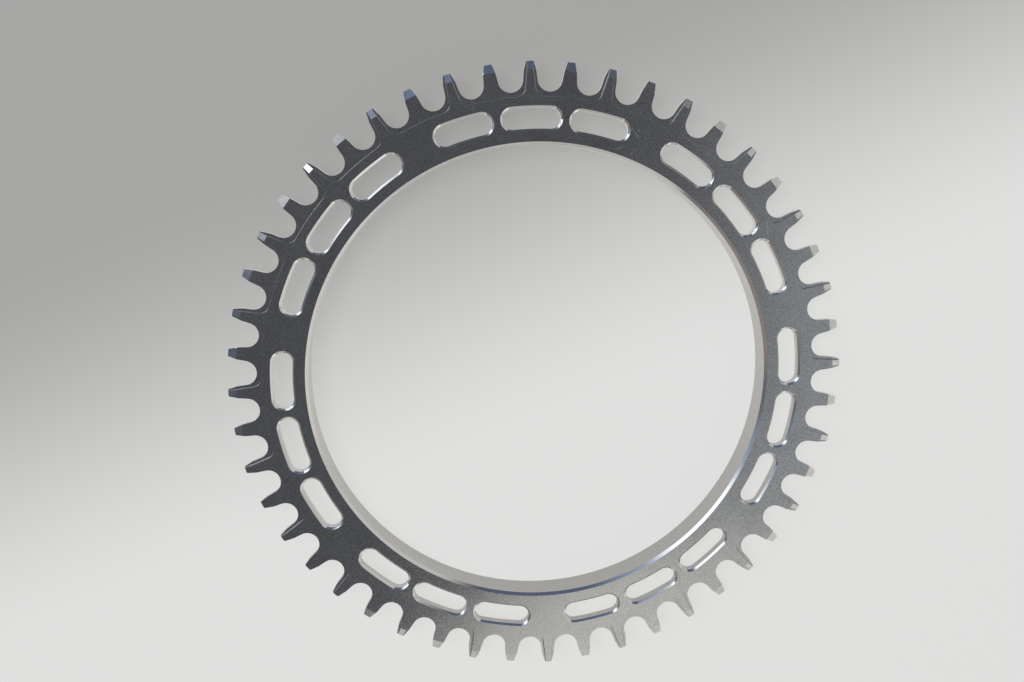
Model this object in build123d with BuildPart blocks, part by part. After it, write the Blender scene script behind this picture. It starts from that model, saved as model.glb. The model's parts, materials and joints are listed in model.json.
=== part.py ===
from build123d import *

import math
import os

# Driving dimensions, in millimetres and degrees

# Chain and tooth outline
chain_pitch = 12.7
tooth_pairs = 24  # a pair is one wide tooth and one narrow tooth
roller_diameter = 7.75
seat_clearance = 0.17  # room between a roller and its seat, on the radius
flank_angle = 9.6  # lean of the straight flank from the axis of the gap
flank_length = 3.05  # straight flank, from the roller seat to the topping
topping_angle = 18.9  # lean of the flank above the straight stretch
tooth_height = 9.45  # from the root circle to the tip circle
gap_overrun = 1.5  # how far a milling cut runs out past the tips

# Narrow and wide teeth
plate_thickness = 4.0  # also the thickness of a wide tooth
narrow_thickness = 2.0
recess_margin = 1.6  # from the root circle in to the recess below a narrow tooth
tongue_step = 1.0  # from a wide tooth's flank in to the top edge of its tongue
recess_corner_bevel = 1.9  # cut-off corner of a recess, along each of its sides
recess_wall_lean = 0.4  # how far the recess wall runs out over its depth
tip_bevel_height = 2.6  # bevel of a tooth, measured down from the tip circle
wide_tip_drop = 0.6  # depth of that bevel at the tip of a wide tooth
narrow_tip_drop = 0.45  # depth of that bevel at the tip of a narrow tooth

# Slots
slot_groups = 7
slots_per_group = 3
slot_width = 6.6
slot_web = 3.3  # metal between two slots of a group, along the slot circle
group_web = 12.8  # metal between two groups, along the slot circle
rim_land = 3.4  # from the slots out to the recesses

# Bore collar
collar_depth = 7.0  # how far the collar stands behind the plate
collar_wall = 3.0
collar_shelf = 1.95  # flat back face between the collar and the slots
bore_bevel = 0.9  # on the front edge of the bore

# Derived sizes
tooth_count = 2 * tooth_pairs
tooth_angle = 360.0 / tooth_count
pitch_radius = chain_pitch / (2.0 * math.sin(math.pi / tooth_count))
seat_radius = roller_diameter / 2.0 + seat_clearance
root_radius = pitch_radius - seat_radius
tip_radius = root_radius + tooth_height
bevel_radius = tip_radius - tip_bevel_height
run_out_radius = tip_radius + gap_overrun
half_tooth = math.radians(tooth_angle / 2.0)
blank_radius = tip_radius / math.cos(half_tooth)
tip_half_width = tip_radius * math.tan(half_tooth)

recess_radius = root_radius - recess_margin
recess_depth = (plate_thickness - narrow_thickness) / 2.0
recess_taper = math.degrees(math.atan2(recess_wall_lean, recess_depth))

slot_outer_radius = recess_radius - rim_land
slot_inner_radius = slot_outer_radius - slot_width
slot_circle_radius = slot_outer_radius - slot_width / 2.0
group_angle = 360.0 / slot_groups
group_arc = math.radians(group_angle) * slot_circle_radius
slot_length = (group_arc - group_web - (slots_per_group - 1) * slot_web) / slots_per_group
slot_pitch_angle = math.degrees((slot_length + slot_web) / slot_circle_radius)
slot_sweep_angle = math.degrees((slot_length - slot_width) / slot_circle_radius)
group_span_angle = slot_pitch_angle * (slots_per_group - 1)

collar_radius = slot_inner_radius - collar_shelf
bore_radius = collar_radius - collar_wall
back_face = collar_depth
front_face = back_face + plate_thickness
narrow_front = front_face - recess_depth
middle_height = (back_face + front_face) / 2.0
middle_plane = Plane.XY.offset(middle_height)

# Where the pattern starts: a wide tooth and the middle slot of a group share the +Y axis
pattern_start = 90.0
first_gap = pattern_start + tooth_angle / 2.0
first_narrow = pattern_start + tooth_angle

# One flank in the frame of its gap, whose axis is +X: the seat runs tangent into it
lean = math.radians(flank_angle)
flank_foot_x = pitch_radius - seat_radius * math.sin(lean)
flank_foot_y = seat_radius * math.cos(lean)
flank_top_x = flank_foot_x + flank_length * math.cos(lean)
flank_top_y = flank_foot_y + flank_length * math.sin(lean)
topping_end_y = flank_top_y + (run_out_radius - flank_top_x) * math.tan(math.radians(topping_angle))

# One tongue edge in the frame of its narrow tooth: parallel to the wide tooth's flank
edge_lean = math.radians(flank_angle + tooth_angle / 2.0)
foot_x = flank_foot_x - tongue_step * math.sin(lean)
foot_y = flank_foot_y + tongue_step * math.cos(lean)
edge_foot_x = foot_x * math.cos(half_tooth) - foot_y * math.sin(half_tooth)
edge_foot_y = foot_x * math.sin(half_tooth) + foot_y * math.cos(half_tooth)


def tongue_edge_y(x):
    """Height of the tongue edge above the narrow tooth's axis, at a place along that axis."""
    return edge_foot_y + (x - edge_foot_x) * math.tan(edge_lean)


# The chord inside the recess circle on which the recess outline is closed
recess_inner_x = recess_radius * math.cos(2.0 * half_tooth) - recess_corner_bevel

# Outline of one gap between two teeth: roller seat, straight flanks and topping
with BuildSketch() as gap_outline:
    with BuildLine():
        Polyline(
            (flank_foot_x, flank_foot_y),
            (flank_top_x, flank_top_y),
            (run_out_radius, topping_end_y),
            (run_out_radius, -topping_end_y),
            (flank_top_x, -flank_top_y),
            (flank_foot_x, -flank_foot_y),
        )
        ThreePointArc((flank_foot_x, -flank_foot_y), (root_radius, 0.0), (flank_foot_x, flank_foot_y))
    make_face()

# Outline of one recess: it takes in a narrow tooth and runs up to the tongues on both sides
with BuildSketch() as recess_outline:
    with BuildLine():
        Polyline(
            (recess_inner_x, -tongue_edge_y(recess_inner_x)),
            (run_out_radius, -tongue_edge_y(run_out_radius)),
            (run_out_radius, tongue_edge_y(run_out_radius)),
            (recess_inner_x, tongue_edge_y(recess_inner_x)),
            close=True,
        )
    make_face()
    Circle(recess_radius, mode=Mode.SUBTRACT)
    chamfer(recess_outline.vertices().sort_by_distance((0.0, 0.0))[:2], length=recess_corner_bevel)

# Tool that recesses one narrow tooth from both sides
with BuildPart() as recess_tool:
    with BuildSketch(Plane.XY.offset(back_face)):
        add(recess_outline.sketch)
    extrude(amount=recess_depth, taper=recess_taper)
    mirror(about=middle_plane)


def tip_cutter(face_height, drop):
    """Tool that mills one tip flat and bevels it on both sides, below a front face at the given height."""
    with BuildPart() as cutter:
        with BuildSketch(Plane.XZ):
            with BuildLine():
                Polyline(
                    (bevel_radius, face_height),
                    (tip_radius, face_height - drop),
                    (tip_radius, middle_height),
                    (run_out_radius, middle_height),
                    (run_out_radius, face_height + drop),
                    close=True,
                )
            make_face()
        extrude(amount=tip_half_width, both=True)
        mirror(about=middle_plane)
    return cutter.part


wide_tip_cutter = tip_cutter(front_face, wide_tip_drop)
narrow_tip_cutter = tip_cutter(narrow_front, narrow_tip_drop)

with BuildPart() as chainring:
    # Turned blank: plate with the bore collar behind it
    with BuildSketch(Plane.XZ):
        with BuildLine():
            Polyline(
                (bore_radius, 0.0),
                (collar_radius, 0.0),
                (collar_radius, back_face),
                (blank_radius, back_face),
                (blank_radius, front_face),
                (bore_radius + bore_bevel, front_face),
                (bore_radius, front_face - bore_bevel),
                close=True,
            )
        make_face()
    revolve(axis=Axis.Z)

    # Slots, concentric with the bore, in groups
    with BuildSketch(Plane.XY.offset(front_face)):
        slot_line = CenterArc(
            (0.0, 0.0), slot_circle_radius, -slot_sweep_angle / 2.0, slot_sweep_angle, mode=Mode.PRIVATE
        )
        with PolarLocations(0.0, slot_groups, start_angle=pattern_start):
            with PolarLocations(
                0.0,
                slots_per_group,
                start_angle=-group_span_angle / 2.0,
                angular_range=group_span_angle,
                endpoint=True,
            ):
                SlotArc(slot_line, slot_width)
    extrude(amount=-plate_thickness, mode=Mode.SUBTRACT)

    # Gaps between the teeth
    with BuildSketch(Plane.XY.offset(front_face)):
        with PolarLocations(0.0, tooth_count, start_angle=first_gap):
            add(gap_outline.sketch)
    extrude(amount=-plate_thickness, mode=Mode.SUBTRACT)

    # Recesses that thin every second tooth and leave tongues on the others
    with PolarLocations(0.0, tooth_pairs, start_angle=first_narrow):
        add(recess_tool.part, mode=Mode.SUBTRACT)

    # Tips of the teeth
    with PolarLocations(0.0, tooth_pairs, start_angle=pattern_start):
        add(wide_tip_cutter, mode=Mode.SUBTRACT)
    with PolarLocations(0.0, tooth_pairs, start_angle=first_narrow):
        add(narrow_tip_cutter, mode=Mode.SUBTRACT)

chainring.part.label = "chainring"
os.makedirs("parts", exist_ok=True)
export_step(chainring.part, "parts/chainring.step")
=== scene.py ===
import json
import math

import bpy
import numpy as np
from bpy.props import FloatProperty, FloatVectorProperty, IntProperty, PointerProperty
from mathutils import Matrix, Vector


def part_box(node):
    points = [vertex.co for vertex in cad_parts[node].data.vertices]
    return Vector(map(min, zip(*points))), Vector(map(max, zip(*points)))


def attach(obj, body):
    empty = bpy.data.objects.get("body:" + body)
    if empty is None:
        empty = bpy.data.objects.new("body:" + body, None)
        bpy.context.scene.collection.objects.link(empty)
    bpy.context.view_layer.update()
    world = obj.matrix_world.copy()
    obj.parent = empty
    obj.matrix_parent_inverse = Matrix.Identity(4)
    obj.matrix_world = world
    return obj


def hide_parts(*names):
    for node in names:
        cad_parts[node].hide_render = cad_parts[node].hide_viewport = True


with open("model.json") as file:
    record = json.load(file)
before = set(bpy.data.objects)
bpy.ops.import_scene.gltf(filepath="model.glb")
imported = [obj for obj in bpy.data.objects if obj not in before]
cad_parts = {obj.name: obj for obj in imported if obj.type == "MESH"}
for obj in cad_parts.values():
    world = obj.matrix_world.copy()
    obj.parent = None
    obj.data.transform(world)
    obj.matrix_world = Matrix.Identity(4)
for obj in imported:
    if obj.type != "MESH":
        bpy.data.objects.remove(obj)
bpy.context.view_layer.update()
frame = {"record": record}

bl_info = {
    "name": "Bicycle chainring",
    "version": (1, 0, 0),
    "blender": (4, 5, 0),
    "location": "3D View > Sidebar > Chainring",
    "description": "Narrow-wide chainring with bevelled slots, in bare machined aluminium, on a pale floor",
    "category": "Object",
}

MM = 0.001
RING_LOW, RING_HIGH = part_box("chainring")
MOUNTS = {mount["name"]: mount for mount in frame["record"]["mounts"]}
BORE_RADIUS_MM = MOUNTS["bore"]["dims"]["r_mm"]

# A wide tooth and the middle slot of a group share the +Y axis
PATTERN_START = math.pi / 2.0
FULL_TURN = 2.0 * math.pi

# Side of a circle that a ray from the axis meets
NEAR_SIDE, FAR_SIDE = -1.0, 1.0

# Steps along the round forms, fine enough to shade as one surface
SEAT_STEPS = 17
FLANK_STEPS = 3
TOPPING_STEPS = 4
TIP_STEPS = 3
CORNER_STEPS = 17
ROOT_STEPS = 14
SLOT_RUN_STEPS = 10
SLOT_END_STEPS = 17
SLOT_RIM_STEPS = 9
WEB_STEPS = 7

# Points of the plate's profile on the collar below its root
COLLAR_POINTS = 4

# Limits of the surface: halvings of an interval, digits of a column's angle, share of a width within which
# two walls count as met, angle of an edge that stays sharp, and grid in metres on which points are welded
HALVINGS = 50
ANGLE_DIGITS = 9
MET_MARGIN = 1e-6
CREASE_LIMIT = math.radians(7.0)
WELD_GRID = 1e-8

# Digits of a length in the panel
SHOWN_DIGITS = 5

# Finishes, in the order of the ring's material slots
FACE, BEVEL, WALL, BORE, RECESS = range(5)


def length(name, description, millimetres):
    """A length setting: written in millimetres here, kept in metres."""
    return FloatProperty(
        name=name, description=description, default=millimetres * MM, unit="LENGTH", precision=SHOWN_DIGITS)


def angle(name, description, degrees):
    """An angle setting: written in degrees here, kept in radians."""
    return FloatProperty(name=name, description=description, default=math.radians(degrees), subtype="ANGLE")


def share(name, description, value):
    """A setting between 0 and 1."""
    return FloatProperty(
        name=name, description=description, default=value, min=0.0, max=1.0, subtype="FACTOR")


def tint(name, description, value):
    """A colour setting."""
    return FloatVectorProperty(
        name=name, description=description, default=value, size=3, min=0.0, subtype="COLOR")


class ToothSettings(bpy.types.PropertyGroup):
    """Outline, recesses and tips of the teeth."""

    tooth_pairs: IntProperty(
        name="Tooth pairs", description="Pairs of one wide and one narrow tooth", default=24)
    chain_pitch: length("Chain pitch", "From one roller of the chain to the next", 12.7)
    seat_radius: length("Roller seat", "Radius of the seat at the bottom of a gap", 4.045)
    flank_angle: angle("Flank angle", "Lean of the straight flank from the axis of its gap", 9.6)
    flank_length: length("Flank length", "Straight flank, from the seat to the topping", 3.05)
    topping_angle: angle("Topping angle", "Lean of the flank above its straight stretch", 18.9)
    tip_radius: length("Tip radius", "From the axis to the tips", RING_HIGH.y / MM)
    plate_thickness: length("Plate thickness", "Also the thickness of a wide tooth", 4.0)
    narrow_thickness: length("Narrow thickness", "Thickness of a narrow tooth", 2.0)
    recess_margin: length("Recess margin", "From the bottom of a gap in to the recess", 1.6)
    tongue_step: length("Tongue step", "From a wide tooth's flank in to the edge of its tongue", 1.0)
    recess_corner: length("Recess corner", "Radius of a recess in its two inner corners", 3.0)
    wall_lean: length("Wall lean", "How far the wall of a recess runs out over its depth", 0.25)
    tip_bevel: length("Tip bevel", "Bevel of a tooth, measured down from its tip", 2.6)
    wide_drop: length("Wide tip drop", "Depth of the bevel at the tip of a wide tooth", 0.6)
    narrow_drop: length("Narrow tip drop", "Depth of the bevel at the tip of a narrow tooth", 0.45)


class SlotSettings(bpy.types.PropertyGroup):
    """Slots and their bevels."""

    groups: IntProperty(name="Groups", description="Groups of slots round the ring", default=7)
    per_group: IntProperty(name="Slots per group", description="Slots in one group", default=3)
    width: length("Slot width", "Clear width of a slot", 6.6)
    web: length("Slot web", "Metal between two slots of a group, along the slot circle", 3.3)
    group_web: length("Group web", "Metal between two groups, along the slot circle", 12.8)
    rim_land: length("Rim land", "From the slots out to the recesses", 3.4)
    bevel: length("Slot bevel", "Width of the bevel round a slot", 0.65)
    bevel_depth: length("Slot bevel depth", "Depth of the bevel round a slot", 0.58)
    join: length("Join", "From the slots out to the circle where plate and rim join", 1.15)
    join_gap: length("Join gap", "Width of the strip that joins plate and rim", 0.9)


class CollarSettings(bpy.types.PropertyGroup):
    """Bore and collar."""

    bore_radius: length("Bore radius", "From the axis to the wall of the bore", BORE_RADIUS_MM)
    bore_bevel: length("Bore bevel", "Width and depth of the bevel at the front of the bore", 0.9)
    wall: length("Collar wall", "Thickness of the collar", 3.0)
    root: length("Collar root", "Radius between the collar and the back face", 0.8)
    edge_break: length("Edge break", "Small bevel on both edges of the collar's end", 0.25)


class FinishSettings(bpy.types.PropertyGroup):
    """Bare aluminium in five finishes."""

    face: tint("Face", "Colour of the satin faces", (0.79, 0.79, 0.79))
    bevel: tint("Bevel", "Colour of the bright bevels", (0.86, 0.86, 0.865))
    wall: tint("Wall", "Colour of the milled walls and flanks", (0.87, 0.865, 0.85))
    bore: tint("Bore", "Colour of the bored wall and the collar", (0.77, 0.757, 0.735))
    # The recess colour is darker than bare aluminium: painted shade in the recesses. Their roughness is the
    # walls' own dull finish
    recess: tint("Recess", "Colour of the dull walls of the recesses", (0.5, 0.5, 0.51))
    face_roughness: share("Face roughness", "Roughness of the satin faces", 0.15)
    bevel_roughness: share("Bevel roughness", "Roughness of the bright bevels", 0.14)
    wall_roughness: share("Wall roughness", "Roughness of the milled walls and flanks", 0.32)
    bore_roughness: share("Bore roughness", "Roughness of the bored wall and the collar", 0.34)
    recess_roughness: share("Recess roughness", "Roughness of the dull walls of the recesses", 0.48)
    grain_size: length("Grain size", "Size of the finest grain of the faces", 0.34)
    line_pitch: length("Tool lines", "From one tool line to the next on walls and bevels", 0.22)
    scratch_width: length("Scratch width", "Half the width of a scratch", 0.11)


class StageSettings(bpy.types.PropertyGroup):
    """Floor, light and camera."""

    floor: tint("Floor", "Colour of the matt floor", (0.8, 0.797, 0.787))
    glow: tint("Glow", "Glow of the floor on the near side", (0.78, 0.78, 0.77))
    # Painted shade: for the camera the floor's glow falls off from the near-side glow to this shade on the
    # far side
    shade: tint("Shade", "Glow of the floor on the far side", (0.341, 0.34, 0.331))
    # Painted reflection: the floor glows for the metal alone, rising from the near side to the far side, to
    # set how bright the metal mirrors it
    mirrored: tint("Mirrored", "Glow of the near floor, as the metal mirrors it", (0.44, 0.436, 0.423))
    mirrored_far: tint("Mirrored far", "The same on the far side", (0.68, 0.674, 0.656))
    mirrored_start: length("Mirrored start", "Where the mirrored glow starts to rise", -100.0)
    mirrored_end: length("Mirrored end", "Where the mirrored glow has risen", 35.0)
    # Where the painted shade on the floor starts and where it is full
    shade_start: length("Shade start", "Where the floor's glow starts to fall off", -25.0)
    shade_end: length("Shade end", "Where the floor's glow has fallen off", 110.0)
    floor_size: length("Floor size", "Side of the floor", 4000.0)
    camera_place: FloatVectorProperty(
        name="Camera place", description="Where the camera stands", subtype="TRANSLATION", unit="LENGTH",
        default=(-31.007 * MM, 75.427 * MM, 345.898 * MM))
    camera_aim: FloatVectorProperty(
        name="Camera aim", description="Point of the outer face in the middle of the picture",
        subtype="TRANSLATION", unit="LENGTH", default=(-8.851 * MM, 12.929 * MM, 11.0 * MM))
    camera_up: angle("Camera up", "Direction on the ring, from +X, that points up in the picture", 87.983)
    camera_lens: FloatProperty(
        name="Lens", description="Focal length in millimetres, on 36 mm film", default=36.304)


def circle_on_rays(centre, radius, angles, side):
    """Where rays from the axis meet a circle that is centred on the zero ray, on its near side (-1) or its
    far side (+1): centre times the cosine of the angle, plus or minus half the chord that the ray cuts out.
    A ray that misses the circle gives the point of the ray nearest to the centre."""
    half_chord = np.sqrt(np.maximum(radius ** 2 - (centre * np.sin(angles)) ** 2, 0.0))
    return centre * np.cos(angles) + side * half_chord


def line_distance(point, lean):
    """Distance from the axis of a straight line that leans through a point."""
    return point[1] * math.cos(lean) - point[0] * math.sin(lean)


def line_on_rays(point, lean, angles):
    """Where rays from the axis meet that line: its distance over the sine of the angle between them."""
    return line_distance(point, lean) / np.sin(angles - lean)


def line_at_radius(point, lean, radius):
    """Angle at which that line passes a radius: its lean plus the arcsine of its distance over it."""
    return lean + math.asin(line_distance(point, lean) / radius)


def crossing(difference, low, high):
    """Angle between low and high at which a difference changes sign, found by halving the interval."""
    start = difference(low) > 0.0
    for _ in range(HALVINGS):
        middle = 0.5 * (low + high)
        if (difference(middle) > 0.0) == start:
            low = middle
        else:
            high = middle
    return 0.5 * (low + high)


class ToothForm:
    """The toothed rim as functions of angle. Angles run from the axis of a wide tooth, through the gap at
    half a tooth, to the axis of the narrow tooth; the rest of the rim mirrors and repeats that."""

    # Finish of each strip of the profile, out over the front and in over the back
    finishes = (FACE, FACE, RECESS, FACE, FACE, WALL, FACE, FACE, RECESS, FACE, FACE)

    def __init__(self, teeth):
        self.pairs = teeth.tooth_pairs
        self.half_tooth = math.pi / (2.0 * self.pairs)
        self.whole_tooth = 2.0 * self.half_tooth
        self.whole_pair = 4.0 * self.half_tooth
        self.seat = teeth.seat_radius
        self.pitch = teeth.chain_pitch / (2.0 * math.sin(self.half_tooth))
        self.tip = teeth.tip_radius
        self.lean = teeth.flank_angle
        self.topping = teeth.topping_angle
        along_flank = np.array([math.cos(self.lean), math.sin(self.lean)])
        off_flank = np.array([-math.sin(self.lean), math.cos(self.lean)])
        self.foot = np.array([self.pitch, 0.0]) + self.seat * off_flank
        self.top = self.foot + teeth.flank_length * along_flank
        self.foot_angle = math.atan2(self.foot[1], self.foot[0])
        self.top_angle = math.atan2(self.top[1], self.top[0])
        self.tip_angle = line_at_radius(self.top, self.topping, self.tip)

        self.front = RING_HIGH.z
        self.back = self.front - teeth.plate_thickness
        self.middle = 0.5 * (self.front + self.back)
        self.depth = 0.5 * (teeth.plate_thickness - teeth.narrow_thickness)
        self.bevel_radius = self.tip - teeth.tip_bevel
        self.wide_slope = teeth.wide_drop / teeth.tip_bevel
        self.narrow_slope = teeth.narrow_drop / teeth.tip_bevel

        # The recess in the frame of its narrow tooth: a circle, a round corner and the edge of the tongue
        self.wall_lean = teeth.wall_lean
        self.recess_radius = self.pitch - self.seat - teeth.recess_margin
        self.edge_lean = self.lean + self.half_tooth
        step = self.foot + teeth.tongue_step * off_flank
        cosine, sine = math.cos(self.half_tooth), math.sin(self.half_tooth)
        self.edge = np.array([step[0] * cosine - step[1] * sine, step[0] * sine + step[1] * cosine])
        self.inward = np.array([math.sin(self.edge_lean), -math.cos(self.edge_lean)])
        self.corner = teeth.recess_corner
        self.corner_centre = self.recess_radius + self.corner
        reach = (self.corner + self.edge @ self.inward) / self.corner_centre
        self.corner_angle = self.edge_lean - math.asin(reach)
        towards_corner = np.array([math.cos(self.corner_angle), math.sin(self.corner_angle)])
        self.corner_point = self.corner_centre * towards_corner

    def outline(self, from_wide):
        """Radius of the tooth outline: the near side of the seat circle, then the straight flank, then the
        topping, and never more than the tip radius."""
        from_gap = np.abs(self.half_tooth - from_wide)
        seat = circle_on_rays(self.pitch, self.seat, from_gap, NEAR_SIDE)
        flank = line_on_rays(self.foot, self.lean, from_gap)
        topping = line_on_rays(self.top, self.topping, from_gap)
        above_seat = np.where(from_gap < self.top_angle, flank, topping)
        side = np.where(from_gap < self.foot_angle, seat, above_seat)
        return np.minimum(side, self.tip)

    def corner_end(self, inset):
        """Angle from the narrow tooth at which the round corner runs into the edge of the tongue."""
        end = self.corner_point - (self.corner - inset) * self.inward
        return math.atan2(end[1], end[0])

    def recess_edge(self, from_wide, inset):
        """Radius of the recess outline, moved into the recess by an inset: a circle round the axis, then
        the near side of the corner circle, then the straight edge of the tongue."""
        from_narrow = self.whole_tooth - from_wide
        from_corner = from_narrow - self.corner_angle
        corner = circle_on_rays(self.corner_centre, self.corner - inset, from_corner, NEAR_SIDE)
        tongue = line_on_rays(self.edge + inset * self.inward, self.edge_lean, from_narrow)
        beyond = np.where(from_narrow < self.corner_end(inset), corner, tongue)
        return np.where(from_narrow < self.corner_angle, self.recess_radius + inset, beyond)

    def wall_top(self, from_wide):
        """Radius at which the wall of the recess starts: the edge of the recess, or further out, where the
        leaning wall comes up through the bevel of the tip."""
        mouth = self.recess_edge(from_wide, 0.0)
        rise = (self.recess_edge(from_wide, self.wall_lean) - mouth) * self.wide_slope / self.depth
        return np.where(mouth > self.bevel_radius, (mouth - rise * self.bevel_radius) / (1.0 - rise), mouth)

    def front_height(self, radius, from_wide):
        """Height of the front at a radius: the lower one of the face, which falls along the bevel of a
        wide tip, and the recess, which falls along its leaning wall to its floor and the bevel of a narrow
        tip."""
        mouth = self.recess_edge(from_wide, 0.0)
        floor_edge = self.recess_edge(from_wide, self.wall_lean)
        past_bevel = np.maximum(radius - self.bevel_radius, 0.0)
        face = self.front - past_bevel * self.wide_slope
        wall = self.front - self.depth * np.clip((radius - mouth) / (floor_edge - mouth), 0.0, 1.0)
        narrow_fall = np.where(from_wide > self.half_tooth, past_bevel * self.narrow_slope, 0.0)
        floor = self.front - self.depth - narrow_fall
        return np.minimum(face, np.where(radius < floor_edge, wall, floor))

    def columns(self):
        """Angles of the rim's columns, from a wide tooth to the narrow tooth: even steps round the seat and
        the recess corner, and every place where two edges of the form meet."""
        turn = np.linspace(0.0, math.pi / 2.0 - self.lean, SEAT_STEPS)
        seat = np.arctan2(self.seat * np.sin(turn), self.pitch - self.seat * np.cos(turn))
        flank = np.linspace(self.foot_angle, self.top_angle, FLANK_STEPS)
        topping = np.linspace(self.top_angle, self.tip_angle, TOPPING_STEPS)
        tip = np.linspace(self.tip_angle, self.half_tooth, TIP_STEPS)
        from_gap = np.concatenate([seat, flank, topping, tip])

        # Round the corner, from the side that faces the axis to the side that touches the tongue
        turn = np.linspace(self.corner_angle + math.pi, self.edge_lean + math.pi / 2.0, CORNER_STEPS)
        x, y = self.corner_point
        corner = np.arctan2(y + self.corner * np.sin(turn), x + self.corner * np.cos(turn))

        narrow = self.whole_tooth
        inner_edge = self.edge + self.wall_lean * self.inward
        gap_end = self.half_tooth - self.foot_angle
        meetings = [
            narrow - self.corner_end(self.wall_lean),
            narrow - line_at_radius(self.edge, self.edge_lean, self.bevel_radius),
            narrow - line_at_radius(inner_edge, self.edge_lean, self.bevel_radius),
            crossing(lambda a: self.wall_top(a) - self.outline(a), 0.0, gap_end),
            crossing(lambda a: self.recess_edge(a, self.wall_lean) - self.outline(a), 0.0, gap_end),
        ]
        sides = [self.half_tooth - from_gap, self.half_tooth + from_gap]
        half = np.concatenate([*sides, narrow - corner, meetings])
        half = np.unique(np.round(np.clip(half, 0.0, narrow), ANGLE_DIGITS))
        half[-1] = narrow
        return half

    def profile(self, join):
        """Rim profile at every column of the whole rim, from the join on the front, out over face, wall,
        floor and bevel to the outline, and back on the mirrored back: angles, radii and heights."""
        half = self.columns()
        pair = np.concatenate([half, self.whole_pair - half[-2:0:-1]])
        from_wide = np.tile(np.concatenate([half, half[-2:0:-1]]), self.pairs)
        turns = np.arange(self.pairs) * self.whole_pair
        angles = (PATTERN_START + turns[:, None] + pair[None, :]).ravel()

        outer = self.outline(from_wide)
        wall_top = np.minimum(self.wall_top(from_wide), outer)
        floor_edge = np.minimum(self.recess_edge(from_wide, self.wall_lean), outer)
        radii = np.stack([
            np.full_like(outer, join),
            np.minimum(wall_top, self.bevel_radius),
            wall_top,
            floor_edge,
            np.minimum(np.maximum(floor_edge, self.bevel_radius), outer),
            outer,
        ])
        heights = self.front_height(radii, from_wide[None, :])
        mirrored = 2.0 * self.middle - heights[::-1]
        return angles, np.vstack([radii, radii[::-1]]), np.vstack([heights, mirrored])


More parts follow.
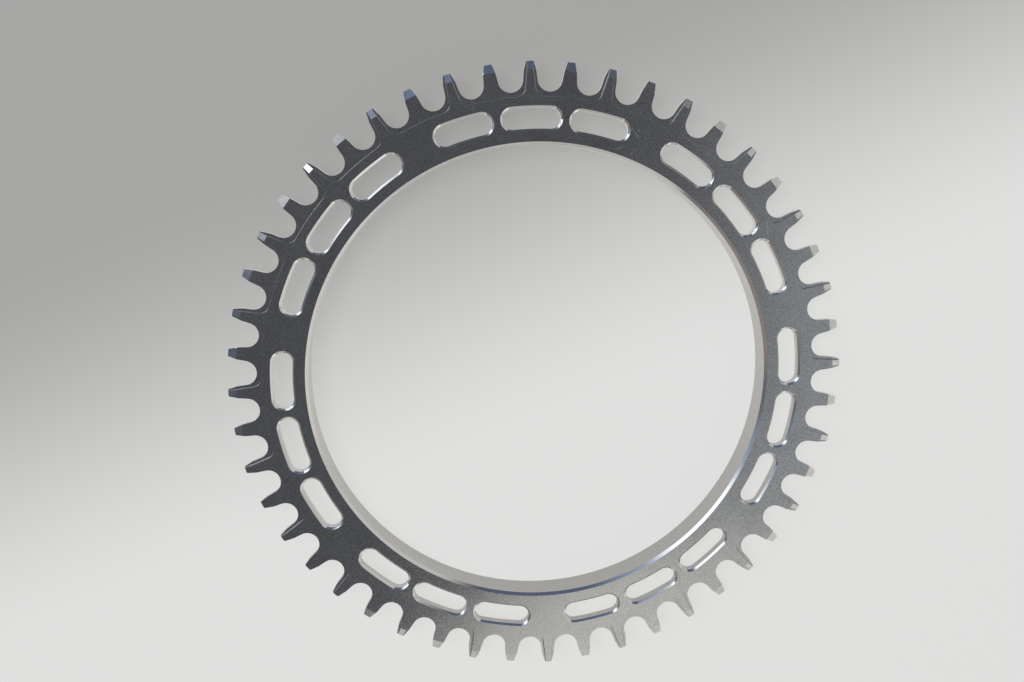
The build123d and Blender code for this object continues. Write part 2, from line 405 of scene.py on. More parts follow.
class SlotForm:
    """The slotted plate and the collar as functions of angle."""

    # Finish of each strip of the two profiles, and which strip is the slot's wall
    inner_finishes = (BEVEL, FACE, BEVEL, WALL, BEVEL, FACE) + (BORE,) * (ROOT_STEPS + COLLAR_POINTS)
    inner_wall_strip = 3
    outer_finishes = (FACE, BEVEL, WALL, BEVEL, FACE)
    outer_wall_strip = 2

    def __init__(self, slots, collar, rim):
        self.front, self.back = rim.front, rim.back
        self.half_width = 0.5 * slots.width
        self.half_rim = self.half_width + slots.bevel
        self.bevel_slope = slots.bevel_depth / slots.bevel
        outer = rim.recess_radius - slots.rim_land
        self.circle = outer - self.half_width
        self.join = outer + slots.join
        group = FULL_TURN / slots.groups
        slots_arc = group * self.circle - slots.group_web - (slots.per_group - 1) * slots.web
        slot_length = slots_arc / slots.per_group
        self.half_sweep = 0.5 * (slot_length - slots.width) / self.circle
        pitch = (slot_length + slots.web) / self.circle
        places = (np.arange(slots.per_group) - 0.5 * (slots.per_group - 1)) * pitch
        groups = PATTERN_START + np.arange(slots.groups) * group
        self.centres = (groups[:, None] + places[None, :]).ravel()
        self.webs = groups + 0.5 * group
        self.half_web = 0.5 * (slots.group_web / self.circle)
        self.bore = collar.bore_radius
        self.bore_bevel = collar.bore_bevel
        self.collar = self.bore + collar.wall
        self.root = collar.root
        self.edge_break = collar.edge_break

    def columns(self):
        """Angles of the plate's columns: even steps along a slot's run, even turns round its end and round
        the end's bevel, and steps across the webs between the groups."""
        run = np.linspace(-self.half_sweep, self.half_sweep, SLOT_RUN_STEPS)
        turn = np.linspace(0.0, math.pi / 2.0, SLOT_END_STEPS)
        end = np.arcsin(self.half_width * np.sin(turn) / self.circle)
        start = math.asin(self.half_width / self.half_rim)
        turn = np.linspace(start, math.pi / 2.0, SLOT_RIM_STEPS)
        rim = np.arcsin(self.half_rim * np.sin(turn) / self.circle)
        side = self.half_sweep + np.concatenate([end, rim])
        slot = np.concatenate([run, side, -side])
        clear = self.half_web - self.half_rim / self.circle + self.half_width / self.circle
        web = np.linspace(-clear, clear, WEB_STEPS)
        angles = np.concatenate([
            (self.centres[:, None] + slot[None, :]).ravel(),
            (self.webs[:, None] + web[None, :]).ravel(),
        ])
        return np.unique(np.round(np.mod(angles, FULL_TURN), ANGLE_DIGITS))

    def from_end(self, angles):
        """Angle past the centre of the nearest slot end, or zero along the slot."""
        apart = np.mod(angles[:, None] - self.centres[None, :] + math.pi, FULL_TURN) - math.pi
        return np.maximum(np.abs(apart).min(axis=1) - self.half_sweep, 0.0)

    def sides(self, past, half_width):
        """Radii of both sides of a slot with this half width, and where they have met: a circle of that
        radius carried along the slot circle, and past its end the two sides share one point of each ray."""
        met = self.circle * np.sin(past) >= half_width * (1.0 - MET_MARGIN)
        middle = self.circle * np.cos(past)
        near = np.where(met, middle, circle_on_rays(self.circle, half_width, past, NEAR_SIDE))
        far = np.where(met, middle, circle_on_rays(self.circle, half_width, past, FAR_SIDE))
        return near, far, met

    def profiles(self):
        """Two profiles at every column. The inner one closes on itself: bore, bevel, plate, slot wall, back
        and collar. The outer one runs from the join on the back, over the slot wall, to the join on the
        front. The bevel's edge lies round the slot like a wider slot. Past the slot's end, where its two
        walls have met, the bevel rises to the face."""
        angles = self.columns()
        past = self.from_end(angles)
        wall_in, wall_out, shut = self.sides(past, self.half_width)
        rim_in, rim_out, level = self.sides(past, self.half_rim)
        beyond_end = np.minimum(self.circle * np.sin(past), self.half_rim)
        bevelled = self.half_rim - np.where(shut, beyond_end, self.half_width)
        drop = np.where(level, 0.0, bevelled * self.bevel_slope)

        ones = np.ones_like(angles)
        turn = np.linspace(0.0, math.pi / 2.0, ROOT_STEPS)[:, None]
        root_radii = (self.collar + self.root * (1.0 - np.sin(turn))) * ones
        root_heights = (self.back - self.root * (1.0 - np.cos(turn))) * ones
        inner_radii = np.vstack([
            self.bore * ones, (self.bore + self.bore_bevel) * ones,
            rim_in, wall_in, wall_in, rim_in, root_radii,
            self.collar * ones, (self.collar - self.edge_break) * ones,
            (self.bore + self.edge_break) * ones, self.bore * ones,
        ])
        inner_heights = np.vstack([
            (self.front - self.bore_bevel) * ones, self.front * ones,
            self.front * ones, self.front - drop, self.back + drop, self.back * ones, root_heights,
            self.edge_break * ones, 0.0 * ones,
            0.0 * ones, self.edge_break * ones,
        ])
        outer_radii = np.vstack([self.join * ones, rim_out, wall_out, wall_out, rim_out, self.join * ones])
        outer_heights = np.vstack([
            self.back * ones, self.back * ones, self.back + drop,
            self.front - drop, self.front * ones, self.front * ones,
        ])
        return angles, shut, (inner_radii, inner_heights), (outer_radii, outer_heights)


def carried_round(angles, radii, heights):
    """Points of a profile carried round the axis: radius times cosine and sine of the angle, and the
    height. The points of one column follow each other."""
    points = np.stack([radii * np.cos(angles), radii * np.sin(angles), heights], axis=-1)
    return points.transpose(1, 0, 2).reshape(-1, 3)


def strip_faces(first, columns, nodes, closed):
    """Four-cornered faces between each column and the next one round the ring, facing outwards, as an array
    of columns, strips and corners. A closed profile also joins its last point to its first."""
    near = first + np.arange(columns)[:, None] * nodes
    far = np.roll(near, -1, axis=0)
    here = np.arange(nodes if closed else nodes - 1)[None, :]
    after = (here + 1) % nodes
    return np.stack([near + here, near + after, far + after, far + here], axis=-1)


def in_order(points, angles):
    """Points of a circle in the order of their angles, and the angles in the middle of its edges."""
    order = np.argsort(angles)
    angles = angles[order]
    return points[order], 0.5 * (angles + np.append(angles[1:], angles[0] + FULL_TURN))


def zipped(inner, inner_angles, outer, outer_angles):
    """Three-cornered faces between two circles with their own columns. The edges of both circles are put
    in order of their middle angles, and each edge gets the corner that the other circle has reached."""
    inner, inner_middle = in_order(inner, inner_angles)
    outer, outer_middle = in_order(outer, outer_angles)
    reached_outer = np.searchsorted(outer_middle, inner_middle) % len(outer)
    reached_inner = np.searchsorted(inner_middle, outer_middle) % len(inner)
    from_inner = np.stack([inner, outer[reached_outer], np.roll(inner, -1)], axis=-1)
    from_outer = np.stack([outer, np.roll(outer, -1), inner[reached_inner]], axis=-1)
    return np.vstack([from_inner, from_outer])


def ring_surface(teeth, slots, collar):
    """The whole ring as one closed surface: corner points, faces of four and of three corners, and the
    finish of each face. Points that fall together are welded, and faces without area are left out."""
    rim = ToothForm(teeth)
    plate = SlotForm(slots, collar, rim)
    rim_angles, rim_radii, rim_heights = rim.profile(plate.join + slots.join_gap)
    angles, shut, (inner_radii, inner_heights), (outer_radii, outer_heights) = plate.profiles()

    inner_points = carried_round(angles, inner_radii, inner_heights)
    outer_points = carried_round(angles, outer_radii, outer_heights)
    rim_points = carried_round(rim_angles, rim_radii, rim_heights)
    points = np.vstack([inner_points, outer_points, rim_points])

    outer_first = len(inner_points)
    rim_first = outer_first + len(outer_points)
    count, rim_count = len(angles), len(rim_angles)
    inner_nodes, outer_nodes, rim_nodes = len(inner_radii), len(outer_radii), len(rim_radii)
    inner = strip_faces(0, count, inner_nodes, True)
    outer = strip_faces(outer_first, count, outer_nodes, False)
    around = strip_faces(rim_first, rim_count, rim_nodes, False)

    # A slot's wall ends where its two sides have met
    no_wall = shut & np.roll(shut, -1)
    inner_kept = np.ones(inner.shape[:2], bool)
    inner_kept[no_wall, plate.inner_wall_strip] = False
    outer_kept = np.ones(outer.shape[:2], bool)
    outer_kept[no_wall, plate.outer_wall_strip] = False
    quads = np.vstack([inner[inner_kept], outer[outer_kept], around.reshape(-1, 4)])
    quad_finish = np.concatenate([
        np.tile(plate.inner_finishes, (count, 1))[inner_kept],
        np.tile(plate.outer_finishes, (count, 1))[outer_kept],
        np.tile(rim.finishes, (rim_count, 1)).ravel(),
    ])

    # Plate and rim join on the front and on the back
    columns, rim_columns = np.arange(count), np.arange(rim_count)
    rim_turned = np.mod(rim_angles, FULL_TURN)
    front = zipped(outer_first + columns * outer_nodes + outer_nodes - 1, angles,
                   rim_first + rim_columns * rim_nodes, rim_turned)
    back = zipped(outer_first + columns * outer_nodes, angles,
                  rim_first + rim_columns * rim_nodes + rim_nodes - 1, rim_turned)[:, ::-1]
    triangles = np.vstack([front, back])

    cells = np.round(points / WELD_GRID).astype(np.int64)
    _, kept, welded = np.unique(cells, axis=0, return_index=True, return_inverse=True)
    welded = welded.ravel()
    points, quads, triangles = points[kept], welded[quads], welded[triangles]

    # A face with two corners in one place has three corners, and one with fewer is gone
    doubled = quads == np.roll(quads, -1, axis=1)
    folded = (quads[:, 0] == quads[:, 2]) | (quads[:, 1] == quads[:, 3])
    whole = (doubled.sum(axis=1) == 0) & ~folded
    three = (doubled.sum(axis=1) == 1) & ~folded
    narrowed = quads[three][~doubled[three]].reshape(-1, 3)
    triangles = np.vstack([narrowed, triangles])
    triangle_finish = np.concatenate([quad_finish[three], np.full(len(front) + len(back), FACE)])
    return points, quads[whole], triangles, np.concatenate([quad_finish[whole], triangle_finish])


def feed(tree, socket, source):
    """Links a node's output to a socket, or sets the socket where the source is a plain value."""
    if isinstance(source, bpy.types.NodeSocket):
        tree.links.new(source, socket)
    else:
        socket.default_value = source


def add_node(tree, kind, sources=(), **settings):
    """Adds a node to a tree, sets its own settings and feeds its sockets. Each source comes with the name
    or the number of its socket."""
    node = tree.nodes.new(kind)
    for name, value in settings.items():
        setattr(node, name, value)
    for key, source in sources:
        feed(tree, node.inputs[key], source)
    return node


def maths(tree, operation, *sources, clamp=False):
    """Adds a Math node fed with numbers or outputs, and gives its output."""
    node = add_node(tree, "ShaderNodeMath", enumerate(sources), operation=operation, use_clamp=clamp)
    return node.outputs[0]


def vector_maths(tree, operation, *sources):
    """Adds a Vector Math node fed with vectors or outputs, and gives the node."""
    return add_node(tree, "ShaderNodeVectorMath", enumerate(sources), operation=operation)


def ramped(tree, source, low, high, to_low, to_high):
    """Adds a Map Range node that eases smoothly from one value to another, and gives its output."""
    sources = enumerate((source, low, high, to_low, to_high))
    return add_node(tree, "ShaderNodeMapRange", sources, interpolation_type="SMOOTHSTEP").outputs[0]


def mixed(tree, factor, first, second, blend="MIX"):
    """Adds a colour Mix node and gives its output."""
    sources = (("Factor", factor), ("A", first), ("B", second))
    return add_node(tree, "ShaderNodeMix", sources, data_type="RGBA", blend_type=blend).outputs["Result"]


def noise(tree, *sources):
    """Adds a noise fed with a place, a scale, a detail and maybe a roughness, and gives its output."""
    sources = zip(("Vector", "Scale", "Detail", "Roughness"), sources)
    return add_node(tree, "ShaderNodeTexNoise", sources, noise_dimensions="3D").outputs[0]


def new_group(name, inputs, outputs):
    """Makes an empty shader node group with named sockets, and gives it with its input and output nodes."""
    group = bpy.data.node_groups.new(name, "ShaderNodeTree")
    for socket, kind in inputs:
        group.interface.new_socket(socket, in_out="INPUT", socket_type=kind)
    for socket, kind in outputs:
        group.interface.new_socket(socket, in_out="OUTPUT", socket_type=kind)
    return group, add_node(group, "NodeGroupInput"), add_node(group, "NodeGroupOutput")


# Grain of the faces: a fine noise over a coarse one, with the share of each in the tone
FINE_DETAIL = 3.0
FINE_ROUGHNESS = 0.6
FINE_SHARE = 0.85
CLOUD_FINENESS = 70.0
CLOUD_DETAIL = 2.0
CLOUD_SHARE = 0.15

# Tool lines: scale of their noise along each axis, small along the axis that they follow, and its detail
LINE_DRAWING = (1.0, 1.0, 0.02)
LINE_DETAIL = 2.0

# Stretches of the noises over which colour and roughness change from one end to the other
GRAIN_STRETCH = (0.32, 0.68)
NOISE_STRETCH = (0.3, 0.7)

# How far grain and tool lines change colour and roughness, and how strongly they stand in the height
GRAIN_SPREAD = 0.24
GRAIN_ROUGHNESS_SPREAD = 0.03
GRAIN_RELIEF = 0.12
BEVEL_SPREAD = 0.03
WALL_SPREAD = 0.08
BORE_SPREAD = 0.04
RECESS_SPREAD = 0.08
LINE_RELIEF = 0.06
RELIEF_HEIGHT = 0.02 * MM

# A scratch is lighter by this factor and rougher by this much
SCRATCH_LIFT = 1.2
SCRATCH_ROUGHNESS = 0.35


def fine_grain():
    """Grain of bare metal: a fine noise over a coarser one, as a tone from 0 to 1 and as a height."""
    group, inside, out = new_group(
        "fine_grain",
        [("Vector", "NodeSocketVector"), ("Fineness", "NodeSocketFloat")],
        [("Tone", "NodeSocketFloat"), ("Height", "NodeSocketFloat")],
    )
    place = inside.outputs["Vector"]
    fine = noise(group, place, inside.outputs["Fineness"], FINE_DETAIL, FINE_ROUGHNESS)
    cloud = noise(group, place, CLOUD_FINENESS, CLOUD_DETAIL)
    fine_part = maths(group, "MULTIPLY", fine, FINE_SHARE)
    cloud_part = maths(group, "MULTIPLY", cloud, CLOUD_SHARE)
    group.links.new(maths(group, "ADD", fine_part, cloud_part), out.inputs["Tone"])
    group.links.new(fine, out.inputs["Height"])
    return group


def tool_lines():
    """Faint marks of a cutter that stand across the edge: noise that is drawn out along the axis of the
    ring, so that it changes quickly along a wall and hardly at all over its height."""
    group, inside, out = new_group(
        "tool_lines",
        [("Vector", "NodeSocketVector"), ("Fineness", "NodeSocketFloat")],
        [("Lines", "NodeSocketFloat")],
    )
    sources = (("Vector", inside.outputs["Vector"]), ("Scale", LINE_DRAWING))
    drawn = add_node(group, "ShaderNodeMapping", sources).outputs["Vector"]
    lines = noise(group, drawn, inside.outputs["Fineness"], LINE_DETAIL)
    group.links.new(lines, out.inputs["Lines"])
    return group


def scratch_line():
    """A scratch as a mask: 1 on the straight line from start to end, easing to 0 at its half width. The
    nearest point of the line is the start plus a clamped share of the way to the end."""
    group, inside, out = new_group(
        "scratch_line",
        [("Vector", "NodeSocketVector"), ("Start", "NodeSocketVector"), ("End", "NodeSocketVector"),
         ("Half Width", "NodeSocketFloat")],
        [("Mask", "NodeSocketFloat")],
    )
    start = inside.outputs["Start"]
    way = vector_maths(group, "SUBTRACT", inside.outputs["End"], start).outputs["Vector"]
    here = vector_maths(group, "SUBTRACT", inside.outputs["Vector"], start).outputs["Vector"]
    along = vector_maths(group, "DOT_PRODUCT", here, way).outputs["Value"]
    whole = vector_maths(group, "DOT_PRODUCT", way, way).outputs["Value"]
    part = maths(group, "DIVIDE", along, whole, clamp=True)
    scaled = add_node(group, "ShaderNodeVectorMath", (("Vector", way), ("Scale", part)), operation="SCALE")
    apart = vector_maths(group, "DISTANCE", here, scaled.outputs["Vector"]).outputs["Value"]
    mask = ramped(group, apart, 0.0, inside.outputs["Half Width"], 1.0, 0.0)
    group.links.new(mask, out.inputs["Mask"])
    return group


def new_metal(name, colour, roughness):
    """Makes a material of bare metal, and gives it with its tree, its shader and its object coordinates."""
    material = bpy.data.materials.new(name)
    material.use_nodes = True
    material.diffuse_color = (*colour, 1.0)
    tree = material.node_tree
    shader = tree.nodes["Principled BSDF"]
    shader.inputs["Metallic"].default_value = 1.0
    shader.inputs["Roughness"].default_value = roughness
    place = add_node(tree, "ShaderNodeTexCoord").outputs["Object"]
    return material, tree, shader, place


def add_relief(tree, shader, height, strength):
    """Lets a height stand in a shader's surface."""
    sources = (("Strength", strength), ("Distance", RELIEF_HEIGHT), ("Height", height))
    bump = add_node(tree, "ShaderNodeBump", sources)
    tree.links.new(bump.outputs["Normal"], shader.inputs["Normal"])


def scaled_colour(colour, factor):
    """A colour made lighter or darker, with full alpha."""
    return (*(min(channel * factor, 1.0) for channel in colour), 1.0)


def spread_colour(tree, tone, stretch, colour, spread):
    """A colour that runs from darker to lighter by a spread, over a stretch of a tone."""
    factor = ramped(tree, tone, *stretch, 0.0, 1.0)
    return mixed(tree, factor, scaled_colour(colour, 1.0 - spread), scaled_colour(colour, 1.0 + spread))


# Scratches on the outer face: angle from +X in degrees and radius in millimetres of both ends
SCRATCHES = (
    ((68.2, 86.7), (66.1, 84.7)),
    ((66.7, 86.5), (66.6, 87.4)),
    ((66.5, 78.6), (66.0, 79.6)),
    ((69.6, 79.1), (69.1, 79.9)),
    ((32.5, 91.2), (29.6, 88.7)),
    ((-20.9, 91.2), (-21.7, 87.9)),
    ((-23.6, 80.7), (-24.6, 77.8)),
    ((-22.6, 90.7), (-22.6, 90.9)),
    ((111.2, 91.9), (111.3, 92.1)),
    ((122.9, 92.5), (123.0, 92.6)),
    ((131.9, 92.1), (131.9, 92.3)),
)


def on_face(end):
    """Point of the outer face at an angle in degrees and a radius in millimetres."""
    turn = math.radians(end[0])
    return (end[1] * MM * math.cos(turn), end[1] * MM * math.sin(turn), RING_HIGH.z)


def face_finish(finish, grain, scratch):
    """Satin face: fine grain in tone, roughness and height, and scratches that are dull and lighter."""
    material, tree, shader, place = new_metal("satin_face", finish.face, finish.face_roughness)
    sources = (("Vector", place), ("Fineness", 1.0 / finish.grain_size))
    grained = add_node(tree, "ShaderNodeGroup", sources, node_tree=grain)
    scratched = None
    for start, end in SCRATCHES:
        sources = (("Vector", place), ("Start", on_face(start)), ("End", on_face(end)),
                   ("Half Width", finish.scratch_width))
        mask = add_node(tree, "ShaderNodeGroup", sources, node_tree=scratch).outputs["Mask"]
        scratched = mask if scratched is None else maths(tree, "MAXIMUM", scratched, mask)
    tone = grained.outputs["Tone"]
    colour = spread_colour(tree, tone, GRAIN_STRETCH, finish.face, GRAIN_SPREAD)
    colour = mixed(tree, scratched, colour, scaled_colour(finish.face, SCRATCH_LIFT))
    tree.links.new(colour, shader.inputs["Base Color"])
    smooth = finish.face_roughness - GRAIN_ROUGHNESS_SPREAD
    coarse = finish.face_roughness + GRAIN_ROUGHNESS_SPREAD
    rough = ramped(tree, tone, *NOISE_STRETCH, smooth, coarse)
    rough = maths(tree, "MULTIPLY_ADD", scratched, SCRATCH_ROUGHNESS, rough)
    tree.links.new(rough, shader.inputs["Roughness"])
    add_relief(tree, shader, grained.outputs["Height"], GRAIN_RELIEF)
    return material


def cut_finish(name, colour, roughness, spread, line_pitch, lines):
    """Cut surface with faint tool lines, which vary colour and roughness by a spread and stand in relief."""
    material, tree, shader, place = new_metal(name, colour, roughness)
    sources = (("Vector", place), ("Fineness", 1.0 / line_pitch))
    tone = add_node(tree, "ShaderNodeGroup", sources, node_tree=lines).outputs["Lines"]
    shaded = spread_colour(tree, tone, NOISE_STRETCH, colour, spread)
    tree.links.new(shaded, shader.inputs["Base Color"])
    rough = ramped(tree, tone, *NOISE_STRETCH, roughness * (1.0 + spread), roughness * (1.0 - spread))
    tree.links.new(rough, shader.inputs["Roughness"])
    add_relief(tree, shader, tone, LINE_RELIEF)
    return material


class CHAINRING_OT_ring(bpy.types.Operator):
    """Builds the chainring as one closed surface in its five finishes"""

    bl_idname = "chainring.ring"
    bl_label = "Chainring"

    def execute(self, context):
        scene = context.scene
        finish = scene.chainring_finish
        points, quads, triangles, finishes = ring_surface(
            scene.chainring_teeth, scene.chainring_slots, scene.chainring_collar)
        mesh = bpy.data.meshes.new("ring")
        mesh.from_pydata(points, [], quads.tolist() + triangles.tolist(), shade_flat=False)
        mesh.polygons.foreach_set("material_index", finishes.astype(np.int32))
        mesh.update()
        mesh.set_sharp_from_angle(angle=CREASE_LIMIT)
        if mesh.validate(verbose=True):
            raise RuntimeError("the ring's surface has faces that don't fit together")
        grain, lines, scratch = fine_grain(), tool_lines(), scratch_line()
        cuts = (
            ("bright_bevel", finish.bevel, finish.bevel_roughness, BEVEL_SPREAD),
            ("milled_wall", finish.wall, finish.wall_roughness, WALL_SPREAD),
            ("bored_wall", finish.bore, finish.bore_roughness, BORE_SPREAD),
            # Recess walls: rough, and darker in colour as painted shade
            ("dull_recess_painted_shade", finish.recess, finish.recess_roughness, RECESS_SPREAD),
        )
        mesh.materials.append(face_finish(finish, grain, scratch))
        for name, colour, roughness, spread in cuts:
            mesh.materials.append(cut_finish(name, colour, roughness, spread, finish.line_pitch, lines))
        ring = bpy.data.objects.new("ring", mesh)
        scene.collection.objects.link(ring)
        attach(ring, "root")
        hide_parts("chainring")
        return {"FINISHED"}


# Studio surround: each panel's direction as azimuth from +X and elevation, the angles from its middle within
# which it is full and past which it is gone, in degrees, and its colour. The flag hides the left edge of the
# front box. Where panels overlap, the lighter one shows, and the dips darken what is behind them
CEILING = (0.077, 0.08, 0.088)
BACKDROP = (0.72, 0.72, 0.712)
FRONT_BOX = (270.0, 0.0, 66.4, 71.6, (0.56, 0.555, 0.53))
LEFT_FLAG = (126.9, -5.7, 115.2, 117.5, CEILING)
PANELS = {
    "light side": (338.0, 0.0, 62.6, 80.8, (0.28, 0.297, 0.312)),
    "low front": (297.0, -12.0, 18.0, 30.0, (0.93, 0.905, 0.86)),
    "low right": (338.0, 4.0, 36.0, 60.0, (0.68, 0.655, 0.615)),
    "right card": (4.0, 31.0, 32.3, 35.8, (0.55, 0.54, 0.51)),
    "low right card": (38.0, 12.0, 14.0, 26.0, (0.56, 0.55, 0.53)),
    "cool card": (95.0, 40.0, 26.0, 36.0, (0.095, 0.122, 0.185)),
    "cool glow": (122.0, 58.0, 8.0, 19.0, (0.17, 0.215, 0.33)),
    "left slate": (186.0, 14.0, 10.0, 24.0, (0.13, 0.142, 0.16)),
    "left glow": (184.0, 58.0, 9.0, 20.0, (0.108, 0.128, 0.172)),
    "left card": (216.0, 10.0, 16.0, 30.0, (0.26, 0.225, 0.21)),
    "window halo": (141.0, 25.0, 19.0, 39.0, (0.3, 0.37, 0.47)),
    "window": (141.0, 25.0, 6.0, 21.0, (1.3, 1.33, 1.4)),
    "window foot": (139.0, 9.0, 9.0, 17.0, (1.15, 1.18, 1.25)),
    "window head": (141.0, 36.0, 7.0, 20.0, (1.0, 1.02, 1.06)),
    "window top": (150.0, 62.0, 4.5, 13.0, (0.62, 0.63, 0.68)),
    "window core": (144.0, 56.0, 4.0, 8.0, (1.5, 1.5, 1.5)),
}
DIPS = {
    "front dip": (266.0, 14.0, 9.0, 13.0, (0.42, 0.415, 0.395)),
    "front right dip": (284.0, 14.0, 9.0, 13.0, (0.42, 0.415, 0.395)),
    "right dip": (6.0, 26.0, 13.0, 18.0, (0.5, 0.49, 0.465)),
}

# Floor: the direction in which its glow falls off, a painted shade towards the far side, the direction in
# which its mirrored glow rises, a painted reflection that only the metal sees, the share of the glow, and
# the roughness and sheen of the matt surface
FALL_OFF = (-0.38, 1.0, 0.0)
MIRRORED_RISE = (-0.27, 0.96, 0.0)
GLOW_SHARE = 0.84
FLOOR_ROUGHNESS = 0.9
FLOOR_SHEEN = 0.1

# Soft key lamp: width and distance in metres, power in watts, direction in degrees
KEY_WIDTH = 0.9
KEY_DISTANCE = 1.4
KEY_POWER = 9.0
KEY_AZIMUTH = 150.0
KEY_ELEVATION = 62.0


def direction(azimuth, elevation):
    """Unit vector towards an azimuth and an elevation in degrees."""
    turn, lift = math.radians(azimuth), math.radians(elevation)
    return Vector((math.cos(turn) * math.cos(lift), math.sin(turn) * math.cos(lift), math.sin(lift)))


def hung(tree, towards, behind, panel, blend):
    """Hangs a panel in front of a colour: its mask eases in with the cosine of the angle to its middle."""
    azimuth, elevation, full, gone, shade = panel
    facing = vector_maths(tree, "DOT_PRODUCT", towards, direction(azimuth, elevation)).outputs["Value"]
    mask = ramped(tree, facing, math.cos(math.radians(gone)), math.cos(math.radians(full)), 0.0, 1.0)
    return mixed(tree, mask, behind, (*shade, 1.0), blend)


def studio_surround():
    """World of soft panels round a dim ceiling, for the light on the metal and what it mirrors. Past the
    edge of the floor the camera sees a plain pale colour in its place."""
    world = bpy.data.worlds.new("studio")
    world.use_nodes = True
    tree = world.node_tree
    towards = add_node(tree, "ShaderNodeTexCoord").outputs["Generated"]
    colour = hung(tree, towards, (*CEILING, 1.0), FRONT_BOX, "MIX")
    colour = hung(tree, towards, colour, LEFT_FLAG, "MIX")
    for panel in PANELS.values():
        colour = hung(tree, towards, colour, panel, "LIGHTEN")
    for dip in DIPS.values():
        colour = hung(tree, towards, colour, dip, "DARKEN")
    seen = add_node(tree, "ShaderNodeLightPath").outputs["Is Camera Ray"]
    colour = mixed(tree, seen, colour, (*BACKDROP, 1.0))
    tree.links.new(colour, tree.nodes["Background"].inputs["Color"])
    tree.nodes["Background"].inputs["Strength"].default_value = 1.0
    return world


def floor_finish(stage):
    """Pale floor: a matt surface that takes the shadow, mixed with a glow for what the camera and the metal
    see of it, so that it stays pale. For the camera the glow falls off softly towards the far side, a
    painted shade, and for the metal it rises towards the far side, a painted reflection that sets how bright
    the metal mirrors the floor."""
    material = bpy.data.materials.new("pale_floor")
    material.use_nodes = True
    tree = material.node_tree
    shader = tree.nodes["Principled BSDF"]
    shader.inputs["Base Color"].default_value = (*stage.floor, 1.0)
    shader.inputs["Roughness"].default_value = FLOOR_ROUGHNESS
    shader.inputs["Specular IOR Level"].default_value = FLOOR_SHEEN
    path = add_node(tree, "ShaderNodeLightPath")
    seen = maths(tree, "MAXIMUM", path.outputs["Is Camera Ray"], path.outputs["Is Glossy Ray"])
    seen = maths(tree, "MAXIMUM", seen, path.outputs["Is Transmission Ray"])
    place = add_node(tree, "ShaderNodeTexCoord").outputs["Object"]
    # Painted shade: the glow that the camera sees falls off towards the far side
    across = vector_maths(tree, "DOT_PRODUCT", place, FALL_OFF).outputs["Value"]
    shade = ramped(tree, across, stage.shade_start, stage.shade_end, 0.0, 1.0)
    lit = mixed(tree, shade, (*stage.glow, 1.0), (*stage.shade, 1.0))
    # Painted reflection: the glow that the metal sees rises towards the far side
    along = vector_maths(tree, "DOT_PRODUCT", place, MIRRORED_RISE).outputs["Value"]
    rise = ramped(tree, along, stage.mirrored_start, stage.mirrored_end, 0.0, 1.0)
    mirrored = mixed(tree, rise, (*stage.mirrored, 1.0), (*stage.mirrored_far, 1.0))
    colour = mixed(tree, path.outputs["Is Camera Ray"], mirrored, lit)
    glow = add_node(tree, "ShaderNodeEmission", [("Color", colour)])
    glowing = maths(tree, "MULTIPLY", seen, GLOW_SHARE)
    mix = add_node(tree, "ShaderNodeMixShader", enumerate((glowing, shader.outputs[0], glow.outputs[0])))
    tree.links.new(mix.outputs[0], tree.nodes["Material Output"].inputs["Surface"])
    return material


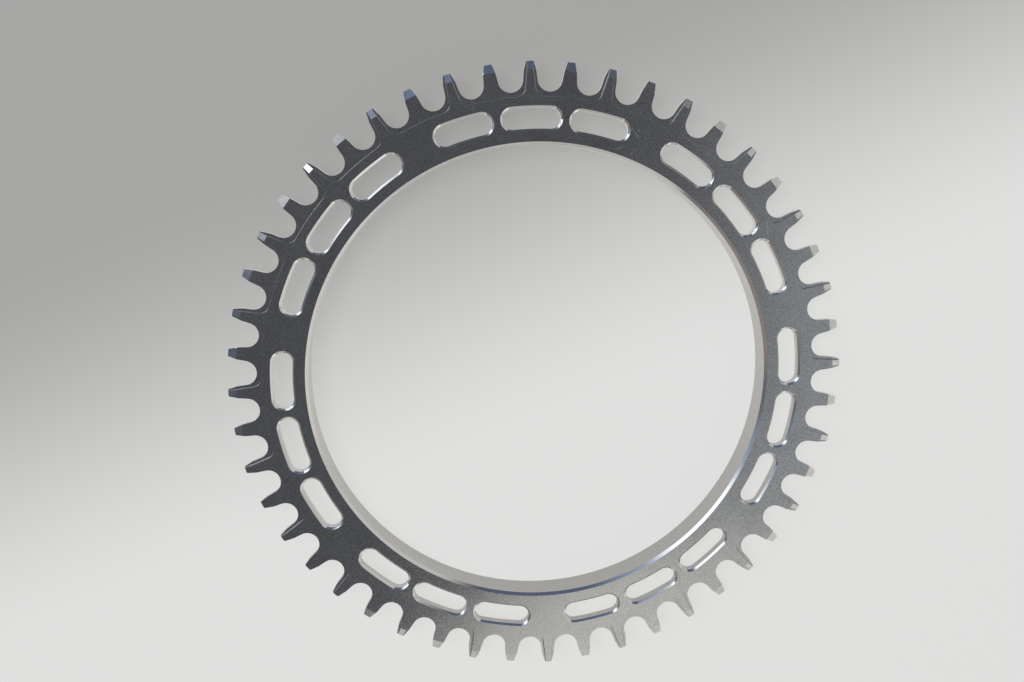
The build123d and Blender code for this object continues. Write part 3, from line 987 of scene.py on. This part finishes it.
class CHAINRING_OT_stage(bpy.types.Operator):
    """Lays the pale floor and sets up the studio light and the camera"""

    bl_idname = "chainring.stage"
    bl_label = "Floor, light and camera"

    def execute(self, context):
        scene = context.scene
        stage = scene.chainring_stage
        scene.view_settings.view_transform = "Standard"
        scene.world = studio_surround()

        half = 0.5 * stage.floor_size
        corners = np.array([(-half, -half), (half, -half), (half, half), (-half, half)])
        points = np.column_stack([corners, np.full(len(corners), RING_LOW.z)])
        mesh = bpy.data.meshes.new("floor")
        mesh.from_pydata(points, [], [list(range(len(corners)))])
        mesh.materials.append(floor_finish(stage))
        floor = bpy.data.objects.new("floor", mesh)
        scene.collection.objects.link(floor)

        lamp = bpy.data.lights.new("soft_key", "AREA")
        lamp.shape = "DISK"
        lamp.size = KEY_WIDTH
        lamp.energy = KEY_POWER
        key = bpy.data.objects.new("soft_key", lamp)
        towards = direction(KEY_AZIMUTH, KEY_ELEVATION)
        turned = towards.to_track_quat("Z", "Y").to_matrix().to_4x4()
        key.matrix_world = Matrix.Translation(towards * KEY_DISTANCE) @ turned
        key.visible_glossy = False
        scene.collection.objects.link(key)

        place, aim = Vector(stage.camera_place), Vector(stage.camera_aim)
        back = (place - aim).normalized()
        right = Vector((math.cos(stage.camera_up), math.sin(stage.camera_up), 0.0)).cross(back).normalized()
        up = back.cross(right)
        data = bpy.data.cameras.new("camera")
        data.lens = stage.camera_lens
        camera = bpy.data.objects.new("camera", data)
        camera.matrix_world = Matrix((right, up, back)).transposed().to_4x4()
        camera.location = place
        scene.collection.objects.link(camera)
        scene.camera = camera
        return {"FINISHED"}


class CHAINRING_PT_panel(bpy.types.Panel):
    """Settings of the chainring and its stage"""

    bl_idname = "CHAINRING_PT_panel"
    bl_label = "Chainring"
    bl_space_type = "VIEW_3D"
    bl_region_type = "UI"
    bl_category = "Chainring"

    def draw(self, context):
        for attribute, settings in SETTINGS.items():
            box = self.layout.box()
            box.label(text=settings.__doc__)
            for name in settings.__annotations__:
                box.prop(getattr(context.scene, attribute), name)
        self.layout.operator(CHAINRING_OT_ring.bl_idname)
        self.layout.operator(CHAINRING_OT_stage.bl_idname)


SETTINGS = {
    "chainring_teeth": ToothSettings,
    "chainring_slots": SlotSettings,
    "chainring_collar": CollarSettings,
    "chainring_finish": FinishSettings,
    "chainring_stage": StageSettings,
}
CLASSES = (*SETTINGS.values(), CHAINRING_OT_ring, CHAINRING_OT_stage, CHAINRING_PT_panel)


def register():
    """Registers the classes and hangs the settings on the scene."""
    for cls in CLASSES:
        bpy.utils.register_class(cls)
    for attribute, settings in SETTINGS.items():
        setattr(bpy.types.Scene, attribute, PointerProperty(type=settings))


def unregister():
    """Takes the settings and the classes away again."""
    for attribute in SETTINGS:
        delattr(bpy.types.Scene, attribute)
    for cls in reversed(CLASSES):
        bpy.utils.unregister_class(cls)


def main():
    """Builds the ring and its stage."""
    register()
    bpy.ops.chainring.ring()
    bpy.ops.chainring.stage()


if __name__ == "__main__":
    main()
